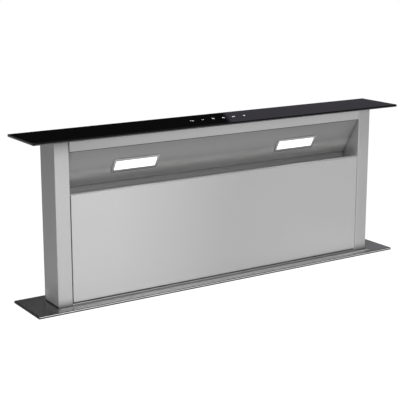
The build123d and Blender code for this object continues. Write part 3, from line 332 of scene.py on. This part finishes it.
def blackGlass():
    # toughened glass, printed black behind, with a ground edge whose lower half carries a painted
    # reflection, and the faintest haze
    look = {"color": (0.0012, 0.0012, 0.0015), "edgeUpper": (0.012, 0.012, 0.013),
            "edgeLower": (0.11, 0.11, 0.113), "edgeMiddle": 0.3316, "edgeRamp": (0.05, 0.25),
            "rough": 0.012, "hazeScale": 14, "haze": 0.015, "edgeRough": 0.25, "ior": 1.5}
    material, tree, shader = newMaterial("blackBackedGlass")
    haze = noise(tree, stretched(tree), look["hazeScale"])
    sideways = minus(tree, 1.0, magnitude(tree, normalPart(tree, "Z")))
    ground = rising(tree, sideways, *look["edgeRamp"])
    # painted reflection: the lower half of the ground edge is lighter than its upper half
    lower = below(tree, objectPart(tree, "Z"), look["edgeMiddle"])
    edge = mixed(tree, lower, look["edgeUpper"], look["edgeLower"])
    faceRough = remap(tree, haze, look["rough"], look["rough"] + look["haze"])
    edgeRough = times(tree, sideways, look["edgeRough"])
    surface(tree, shader, mixed(tree, ground, look["color"], edge), plus(tree, faceRough, edgeRough))
    tree.links.new(ground, shader.inputs["Metallic"])
    shader.inputs["IOR"].default_value = look["ior"]
    return material


def paintedMetal(name, color, rough):
    # stoved enamel with a slight orange peel
    look = {"peel": 420, "peelDetail": 2.0, "cloud": 18, "cloudShare": 0.5, "lighter": 1.3,
            "lift": 0.008, "roughSpread": 0.12, "coat": 0.3, "bump": 0.08, "bumpDepth": 0.0004}
    material, tree, shader = newMaterial(name)
    vector = stretched(tree)
    peel = noise(tree, vector, look["peel"], look["peelDetail"])
    cloud = noise(tree, vector, look["cloud"])
    lighter = [part * look["lighter"] + look["lift"] for part in color]
    clouded = mixed(tree, remap(tree, cloud, 0.0, look["cloudShare"]), color, lighter)
    surface(tree, shader, clouded, remap(tree, cloud, rough, rough + look["roughSpread"]))
    shader.inputs["Coat Weight"].default_value = look["coat"]
    bump(tree, shader, peel, look)
    return material


def circuitBoard():
    # green solder resist with copper runs showing through as a paler maze
    look = {"resist": (0.012, 0.11, 0.045), "copper": (0.03, 0.22, 0.09), "scale": 220,
            "copperEdge": (0.45, 0.5), "rough": (0.22, 0.4), "bump": 0.15, "bumpDepth": 0.0002}
    material, tree, shader = newMaterial("circuitBoard")
    cells = addNode(tree, "ShaderNodeTexVoronoi", {"Scale": look["scale"]},
                    distance="CHEBYCHEV", feature="F2")
    tree.links.new(stretched(tree), cells.inputs["Vector"])
    maze = cells.outputs["Distance"]
    runs = mixed(tree, rising(tree, maze, *look["copperEdge"]), look["resist"], look["copper"])
    surface(tree, shader, runs, remap(tree, maze, *look["rough"]))
    bump(tree, shader, maze, look)
    return material


def lampRim(tree, node, width):
    # 1 on a rim of this width round each lamp piece, found from its own outline on the slope
    lens = max(meshOf("lamp_lenses").polygons, key=lambda face: face.area)
    upSlope = Vector((1, 0, 0)).cross(lens.normal).normalized()
    corners = [vertex.co for vertex in meshOf(node).vertices if vertex.co.x > 0]
    xs = [corner.x for corner in corners]
    slopes = [corner.dot(upSlope) for corner in corners]
    middleX, halfX = (min(xs) + max(xs)) / 2, (max(xs) - min(xs)) / 2
    middleSlope, halfSlope = (min(slopes) + max(slopes)) / 2, (max(slopes) - min(slopes)) / 2
    along = minus(tree, magnitude(tree, objectPart(tree, "X")), middleX)
    up = plus(tree, times(tree, objectPart(tree, "Y"), upSlope.y),
              times(tree, objectPart(tree, "Z"), upSlope.z))
    farAlong = above(tree, magnitude(tree, along), halfX - width)
    farUp = above(tree, magnitude(tree, minus(tree, up, middleSlope)), halfSlope - width)
    return either(tree, farAlong, farUp)


def litLens():
    # frosted lens lit from behind by its diode strip, and unlit where its frame holds it
    look = {"color": (0.9, 0.9, 0.88), "light": (1.0, 0.985, 0.95), "strength": 0.95,
            "frost": 2600, "frostDetail": 2.0, "rough": (0.3, 0.5), "bump": 0.1,
            "bumpDepth": 0.0002, "rimWidth": 0.0012, "rimColor": grey(0.50)}
    material, tree, shader = newMaterial("litFrostedLens")
    frost = noise(tree, stretched(tree), look["frost"], look["frostDetail"])
    held = lampRim(tree, "lamp_lenses", look["rimWidth"])
    surface(tree, shader, mixed(tree, held, look["color"], look["rimColor"]),
            remap(tree, frost, *look["rough"]))
    tree.links.new(mixed(tree, held, look["light"], grey(0.0)), shader.inputs["Emission Color"])
    shader.inputs["Emission Strength"].default_value = look["strength"]
    bump(tree, shader, frost, look)
    return material


# The riser's and the flange's steel, with the tone that the photo shows in each place painted in as
# light and shade.

def flangeSteel():
    # the pressed flange: painted shade to the left and more at its left end, duller and rougher in
    # front of the riser, painted shade on its rolled border, a painted highlight along its front and
    # back faces, and a painted shadow at its foot
    look = {"color": (0.56, 0.56, 0.563), "rough": (0.19, 0.23), "bump": 0.003, "tone": (0.98, 1.01),
            "cloud": 0.05}
    opening = {"full": 0.012, "reach": 0.019, "start": 0.007, "color": grey(0.51), "rough": 0.45}
    left = {"span": (-0.38, -0.12), "color": grey(0.35), "endFull": 0.015, "endReach": 0.062,
            "endColor": grey(0.27)}
    rim = {"border": 0.0030, "rough": 0.45, "dark": grey(0.02), "bright": (0.95, 0.95, 0.94),
           "foot": 0.0025}
    material = brushedMetal("polishedFlangeSteel", **look)
    tree = material.node_tree
    halfX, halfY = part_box("worktop_flange")[1][:2]
    along, across, height = (objectPart(tree, axis) for axis in "XYZ")
    offCenter = magnitude(tree, along)
    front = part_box("front_skirt")[0][1]
    nearOpening = rising(tree, across, front - opening["reach"], front - opening["full"])
    inFront = times(tree, below(tree, across, front - opening["start"]),
                    below(tree, offCenter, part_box("side_column_right")[1][0]))
    overlay(material, times(tree, nearOpening, inFront), opening["color"], opening["rough"])
    # painted shade: darker towards the left, and darker still at the left end
    overlay(material, falling(tree, along, *left["span"]), left["color"])
    leftEnd = falling(tree, along, left["endFull"] - halfX, left["endReach"] - halfX)
    overlay(material, leftEnd, left["endColor"])
    # painted shade on the rolled border, a painted highlight on the front and back faces, a painted
    # shadow at the foot
    border = either(tree, above(tree, offCenter, halfX - rim["border"]),
                    above(tree, magnitude(tree, across), halfY - rim["border"]))
    overlay(material, border, rim["dark"], rim["rough"])
    overlay(material, facesAlong(tree, "Y"), rim["bright"])
    overlay(material, below(tree, height, rim["foot"]), rim["dark"])
    return material


def shadeFoot(material, foot, reach, color, sideShare=1.0):
    # painted shade on sheet just above the worktop opening, by another share on its side faces
    tree = material.node_tree
    low = falling(tree, objectPart(tree, "Z"), foot, foot + reach)
    share = minus(tree, 1.0, times(tree, facesAlong(tree, "X"), 1.0 - sideShare))
    overlay(material, times(tree, low, low, share), color)


def columnSteel():
    # the columns: painted light where they close the recess, painted shade on the outer left face,
    # which is painted lighter towards its foot with painted shade along its joint with the flange, and
    # painted shade in front under the glass on the left and along the front foot
    column = {"grain": (1500, 1500, 4), "inner": grey(0.78), "outer": grey(0.46), "foot": grey(1.0),
              "footReach": 0.030, "joint": grey(0.12), "jointHeight": 0.0024, "under": grey(0.20),
              "underReach": 0.045, "frontFoot": grey(0.16), "frontFootReach": 0.020}
    material = brushedMetal("uprightBrushedSteel", grain=column["grain"])
    tree = material.node_tree
    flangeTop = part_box("worktop_flange")[1][2]
    height = objectPart(tree, "Z")
    onRight = above(tree, objectPart(tree, "X"), 0.0)
    onLeft = minus(tree, 1.0, onRight)
    leftFace = facesAgainst(tree, "X")
    # painted light on the inner face, painted shade on the outer face, painted lighter near its foot,
    # painted shade at its joint
    overlay(material, times(tree, leftFace, onRight), column["inner"])
    outer = times(tree, leftFace, onLeft)
    overlay(material, outer, column["outer"])
    low = falling(tree, height, flangeTop, flangeTop + column["footReach"])
    overlay(material, times(tree, outer, low), column["foot"])
    joint = below(tree, height, flangeTop + column["jointHeight"])
    overlay(material, times(tree, outer, joint), column["joint"])
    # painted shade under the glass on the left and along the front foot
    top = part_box("side_column_left")[1][2]
    high = rising(tree, height, top - column["underReach"], top)
    leftFront = times(tree, facesAgainst(tree, "Y"), onLeft)
    overlay(material, times(tree, high, high, leftFront), column["under"])
    shadeFoot(material, flangeTop, column["frontFootReach"], column["frontFoot"], sideShare=0.0)
    return material


def panelSteel():
    # the front panel: a broad painted highlight on its left, a faint one at its right end, painted
    # shade on the bend where its face turns up into the lip, which is painted lighter, and painted
    # shade at its foot
    patch = {"color": grey(0.598), "middle": grey(0.503), "leftEnd": (-0.26, -0.01),
             "rightEnd": (0.05, 0.33)}
    fold = {"turned": (0.05, 0.2), "bend": grey(0.32), "flat": (0.9, 0.98), "lip": grey(0.60)}
    foot = {"reach": 0.006, "color": grey(0.42)}
    material = brushedMetal("panelSteel", color=patch["color"])
    tree = material.node_tree
    along = objectPart(tree, "X")
    # painted highlight: paler on the left and at the right end
    overlay(material, rising(tree, along, *patch["leftEnd"]), patch["middle"])
    overlay(material, rising(tree, along, *patch["rightEnd"]), patch["color"])
    upward = normalPart(tree, "Z")
    # painted shade on the bend and painted light on the lip
    overlay(material, rising(tree, upward, *fold["turned"]), fold["bend"])
    overlay(material, rising(tree, upward, *fold["flat"]), fold["lip"])
    shadeFoot(material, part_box("front_panel")[0][2], foot["reach"], foot["color"])
    return material


def lampFrameSteel():
    # the lamp frames, with a thin painted shade round each
    look = {"color": grey(0.58), "jointWidth": 0.0009, "joint": grey(0.33)}
    material = brushedMetal("lampFrameSteel", color=look["color"])
    # painted shade round each frame
    overlay(material, lampRim(material.node_tree, "lamp_bezels", look["jointWidth"]), look["joint"])
    return material


def railSteel():
    # the top rail: painted shade towards the left, and painted shade on its lower fold, which turns
    # away from the light
    rail = {"color": grey(0.66), "fade": (-0.35, 0.35), "faded": grey(0.40), "foldHeight": 0.0013,
            "fold": grey(0.10)}
    material = brushedMetal("topRailSteel", color=rail["color"])
    tree = material.node_tree
    # painted shade towards the left, then painted shade on the lower fold
    overlay(material, falling(tree, objectPart(tree, "X"), *rail["fade"]), rail["faded"])
    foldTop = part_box("top_rail")[0][2] + rail["foldHeight"]
    overlay(material, below(tree, objectPart(tree, "Z"), foldTop), rail["fold"])
    return material


def recessSteel():
    # the recess plate: painted light low on its slope, painted shade further up it and on its upright
    # foot, whose hem is painted lighter again, and painted shade where it runs into the columns
    slope = {"color": (0.95, 0.95, 0.94), "waist": (0.246, 0.262), "belly": grey(0.44),
             "top": (0.262, 0.306), "upper": grey(0.31), "bend": (0.2250, 0.2290),
             "foot": grey(0.33), "hem": (0.2165, 0.2230), "low": grey(0.58)}
    corner = {"reach": 0.014, "strength": 0.6, "color": grey(0.12)}
    material = brushedMetal("recessSteel", color=slope["color"])
    tree = material.node_tree
    height = objectPart(tree, "Z")
    # painted light and shade up the slope, on the upright foot and on its hem
    overlay(material, rising(tree, height, *slope["waist"]), slope["belly"])
    overlay(material, rising(tree, height, *slope["top"]), slope["upper"])
    overlay(material, falling(tree, height, *slope["bend"]), slope["foot"])
    overlay(material, falling(tree, height, *slope["hem"]), slope["low"])
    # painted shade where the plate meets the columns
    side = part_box("recess_plate")[1][0]
    near = rising(tree, magnitude(tree, objectPart(tree, "X")), side - corner["reach"], side)
    overlay(material, times(tree, near, near, corner["strength"]), corner["color"])
    return material


# Every node gets the finish of its material slot, or one of its own.

polishedFlange = flangeSteel()
uprightColumn = columnSteel()
finishes = {
    "black_glass": blackGlass(),
    "brushed_steel": brushedMetal("brushedSteel"),
    "polished_steel": polishedFlange,
    "galvanised": zincSheet(),
    "zinc_screw": brightMetal("brightZinc", (0.58, 0.59, 0.60), rough=0.24, speck=700),
    "ground_steel": brightMetal("groundSteel", (0.66, 0.66, 0.67), rough=0.16, speck=900),
    "anodised": brushedMetal("satinAnodised", color=(0.62, 0.62, 0.63), grain=(60, 900, 900),
                             rough=(0.28, 0.4), bump=0.03),
    "filter_mesh": expandedMesh(),
    "handle_wire": brightMetal("brightWire", (0.64, 0.64, 0.65), rough=0.14, speck=500),
    "white_plastic": mouldedPlastic("naturalAcetal", (0.78, 0.78, 0.74), rough=0.42,
                                    grainScale=1200),
    "black_plastic": mouldedPlastic("blackMoulding", (0.022, 0.022, 0.024), rough=0.46),
    "motor_paint": paintedMetal("blackEnamel", (0.03, 0.03, 0.032), rough=0.32),
    "bronze": brightMetal("sinteredBronze", (0.55, 0.35, 0.16), rough=0.36, speck=1500),
    "circuit_board": circuitBoard(),
    "lamp_lens": litLens(),
    "seal_rubber": mouldedPlastic("sealRubber", grey(0.25), rough=0.7, grainScale=900),
}
nodeFinish = {
    "side_column_left": uprightColumn,
    "side_column_right": uprightColumn,
    "worktop_flange": polishedFlange,
    "front_panel": panelSteel(),
    "lamp_bezels": lampFrameSteel(),
    "top_rail": railSteel(),
    "recess_plate": recessSteel(),
    "front_skirt": brushedMetal("shadedSkirtSteel", color=grey(0.25)),
}
for node, slotName in slotOfNode.items():
    mesh = meshOf(node)
    mesh.materials.clear()
    mesh.materials.append(nodeFinish.get(node, finishes[slotName]))
print("finishes given to", len(slotOfNode), "nodes")


# Touch marks printed on the glass.

touchMarks = {"xs": (-0.0628, -0.0372, -0.0120, 0.0137, 0.0390, 0.0649), "lift": 0.00004,
              "color": grey(0.95), "rough": 0.5, "grain": 3000, "glow": 0.9, "cornerCut": 0.3,
              "ringSides": 8, "ringStroke": 0.78}


def printedShape(name, outlines, height):
    # flat faces at one height: each outline is a closed loop of (x, y)
    shape = bmesh.new()
    for outline in outlines:
        shape.faces.new([shape.verts.new((x, y, height)) for x, y in outline])
    mesh = bpy.data.meshes.new(name)
    shape.to_mesh(mesh)
    shape.free()
    piece = bpy.data.objects.new(name, mesh)
    bpy.context.scene.collection.objects.link(piece)
    return piece


def stroke(centerX, centerY, length, width, angle):
    # one short printed line with clipped corners
    cut = width * touchMarks["cornerCut"]
    endX, sideY = length / 2, width / 2
    corners = [(cut - endX, -sideY), (endX - cut, -sideY), (endX, cut - sideY), (endX, sideY - cut),
               (endX - cut, sideY), (cut - endX, sideY), (-endX, sideY - cut), (-endX, cut - sideY)]
    cosine, sine = math.cos(angle), math.sin(angle)
    return [(centerX + x * cosine - y * sine, centerY + x * sine + y * cosine) for x, y in corners]


def ring(radius, width, gap=None):
    # a ring of separate strokes, with one side left out where a gap is named
    sides = touchMarks["ringSides"]
    turns = [math.tau * side / sides for side in range(sides) if side != gap]
    return [(radius * math.cos(turn), radius * math.sin(turn), radius * touchMarks["ringStroke"],
             width, turn + math.pi / 2) for turn in turns]


# each mark's strokes: middle x and y, length, width, turn
touchGlyphs = [
    [(0.0004, -0.0006, 0.0084, 0.0011, math.radians(82)),
     (-0.0016, 0.0040, 0.0028, 0.0011, math.radians(-33))],
    [(-0.0015, 0, 0.0040, 0.0008, math.radians(-40)), (0.0018, 0, 0.0040, 0.0008, math.radians(40))],
    ring(0.0022, 0.0010) + [(0, 0.0007, 0.0014, 0.0008, math.pi / 2),
                            (0.0009, -0.0005, 0.0010, 0.0008, 0)],
    ring(0.0023, 0.0011, gap=2) + [(0, 0.0017, 0.0028, 0.0010, math.pi / 2)],
    ring(0.0025, 0.0011) + [(0, 0, 0.0020, 0.0011, 0)],
    ring(0.0021, 0.0012) + [(0, -0.0034, 0.0024, 0.0008, 0)],
]


def buildTouchMarks():
    strokes = [stroke(place + x, y, length, width, turn)
               for place, glyph in zip(touchMarks["xs"], touchGlyphs)
               for x, y, length, width, turn in glyph]
    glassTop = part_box("glass_top")[1][2]
    piece = printedShape("touchMarks", strokes, glassTop + touchMarks["lift"])
    printed = mouldedPlastic("litPrint", touchMarks["color"], touchMarks["rough"], touchMarks["grain"])
    lit = printed.node_tree.nodes["Principled BSDF"]
    lit.inputs["Emission Color"].default_value = (1, 1, 1, 1)
    lit.inputs["Emission Strength"].default_value = touchMarks["glow"]
    piece.data.materials.append(printed)
    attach(piece, bodyOfNode["glass_top"])


buildTouchMarks()
print("touch marks printed")


# Floor: the worktop in front and to the left, and a lower floor that the housing stands over.
# The worktop sheet leaves out the back and the right, so that the housing shows from there.

floors = {"worktop": [(0.44, 0.058), (-0.74, 0.058), (-0.74, -0.80), (0.44, -0.80)], "far": 14.0,
          "color": grey(0.42), "glow": 1.15, "whiteShare": 0.86, "mirroredShare": 0.45}


def whiteFloor():
    # white to the camera and dimmer in mirrors, but plain grey to the light
    material, tree = newMaterial("whiteFloor")[:2]
    tree.nodes.clear()
    rays = addNode(tree, "ShaderNodeLightPath")
    mirrored = times(tree, rays.outputs["Is Glossy Ray"], floors["mirroredShare"])
    direct = either(tree, rays.outputs["Is Camera Ray"], rays.outputs["Is Transmission Ray"])
    share = times(tree, either(tree, mirrored, direct), floors["whiteShare"])
    diffuse = addNode(tree, "ShaderNodeBsdfDiffuse", {"Color": (*floors["color"], 1)})
    glow = addNode(tree, "ShaderNodeEmission", {"Color": (1, 1, 1, 1), "Strength": floors["glow"]})
    mix = addNode(tree, "ShaderNodeMixShader")
    out = addNode(tree, "ShaderNodeOutputMaterial")
    tree.links.new(share, mix.inputs["Fac"])
    tree.links.new(diffuse.outputs["BSDF"], mix.inputs[1])
    tree.links.new(glow.outputs["Emission"], mix.inputs[2])
    tree.links.new(mix.outputs["Shader"], out.inputs["Surface"])
    return material


def floorSheet(name, corners, height, material):
    piece = printedShape(name, [corners], height)
    piece.data.materials.append(material)


def buildFloors():
    white = whiteFloor()
    far = floors["far"]
    floorSheet("worktopFloor", floors["worktop"], 0.0, white)
    floorSheet("lowerFloor", [(-far, -far), (far, -far), (far, far), (-far, far)],
               startBounds[0][2], white)


buildFloors()


# Soft light: an even grey room, seen in mirrors as nearly black on the left, grey on the right
# and pale overhead, and three large lamps.

studio = {"ambient": grey(0.45), "edgeAngle": math.radians(34.4), "edgeTilt": 0.76,
          "edgeHeight": 0.16, "edgeSoft": 0.002, "rise": (0.20, 0.28), "overhead": (0.34, 0.8),
          "leftLow": grey(0.006), "leftHigh": grey(0.004), "rightLow": (0.095, 0.090, 0.106),
          "rightHigh": (0.30, 0.30, 0.31), "top": grey(0.9)}
lamps = {
    "keyLamp": {"place": (0.05, -1.04, 3.1), "target": (-0.05, -0.03, 0.15), "size": (1.3, 0.7),
                "power": 118},
    "fillLamp": {"place": (0.2, -1.9, 0.6), "target": (-0.25, 0, 0.15), "size": (1.7, 1.0),
                 "power": 12.5},
    "backLamp": {"place": (0.6, 2.6, 2.2), "target": (0, 0, 0), "size": (2.4, 1.6), "power": 10},
}


def buildWorld():
    world = bpy.data.worlds.new("softRoom")
    bpy.context.scene.world = world
    world.use_nodes = True
    tree = world.node_tree
    tree.nodes.clear()
    way = addNode(tree, "ShaderNodeTexCoord").outputs["Generated"]
    east, north, height = (axisPart(tree, way, axis) for axis in "XYZ")
    side = minus(tree, times(tree, east, math.cos(studio["edgeAngle"])),
                 times(tree, north, math.sin(studio["edgeAngle"])))
    lean = times(tree, minus(tree, height, studio["edgeHeight"]), studio["edgeTilt"])
    onRight = rising(tree, minus(tree, side, lean), -studio["edgeSoft"], studio["edgeSoft"])
    rise = rising(tree, height, *studio["rise"])
    left = mixed(tree, rise, studio["leftLow"], studio["leftHigh"])
    right = mixed(tree, rise, studio["rightLow"], studio["rightHigh"])
    overhead = rising(tree, height, *studio["overhead"])
    inMirrors = mixed(tree, overhead, mixed(tree, onRight, left, right), studio["top"])
    rays = addNode(tree, "ShaderNodeLightPath")
    room = mixed(tree, rays.outputs["Is Glossy Ray"], studio["ambient"], inMirrors)
    white = either(tree, rays.outputs["Is Camera Ray"], rays.outputs["Is Transmission Ray"])
    back = addNode(tree, "ShaderNodeBackground", {"Strength": 1.0})
    out = addNode(tree, "ShaderNodeOutputWorld")
    tree.links.new(mixed(tree, white, room, grey(1.0)), back.inputs["Color"])
    tree.links.new(back.outputs["Background"], out.inputs["Surface"])


def softLamp(name, lamp):
    light = bpy.data.lights.new(name, "AREA")
    light.shape = "RECTANGLE"
    light.size, light.size_y = lamp["size"]
    light.energy = lamp["power"]
    holder = bpy.data.objects.new(name, light)
    holder.location = lamp["place"]
    aim = Vector(lamp["target"]) - Vector(lamp["place"])
    holder.rotation_euler = aim.to_track_quat("-Z", "Y").to_euler()
    bpy.context.scene.collection.objects.link(holder)


buildWorld()
for lampName, lampLook in lamps.items():
    softLamp(lampName, lampLook)
print("floor, room and lamps placed")


# Camera, at the photo's angle.

photoCamera = {"place": (-1.24807, -1.86045, 0.69543), "yaw": 32.908, "down": 13.406,
               "lens": 99.095, "sensor": 36.0, "clipEnd": 60}


def placeCamera():
    data = bpy.data.cameras.new("photoCamera")
    data.sensor_fit = "HORIZONTAL"
    data.sensor_width = photoCamera["sensor"]
    data.lens = photoCamera["lens"]
    data.clip_end = photoCamera["clipEnd"]
    camera = bpy.data.objects.new("photoCamera", data)
    camera.location = photoCamera["place"]
    camera.rotation_euler = (math.radians(90 - photoCamera["down"]), 0,
                             math.radians(-photoCamera["yaw"]))
    bpy.context.scene.collection.objects.link(camera)
    bpy.context.scene.camera = camera


placeCamera()
bpy.context.scene.view_settings.view_transform = "Standard"
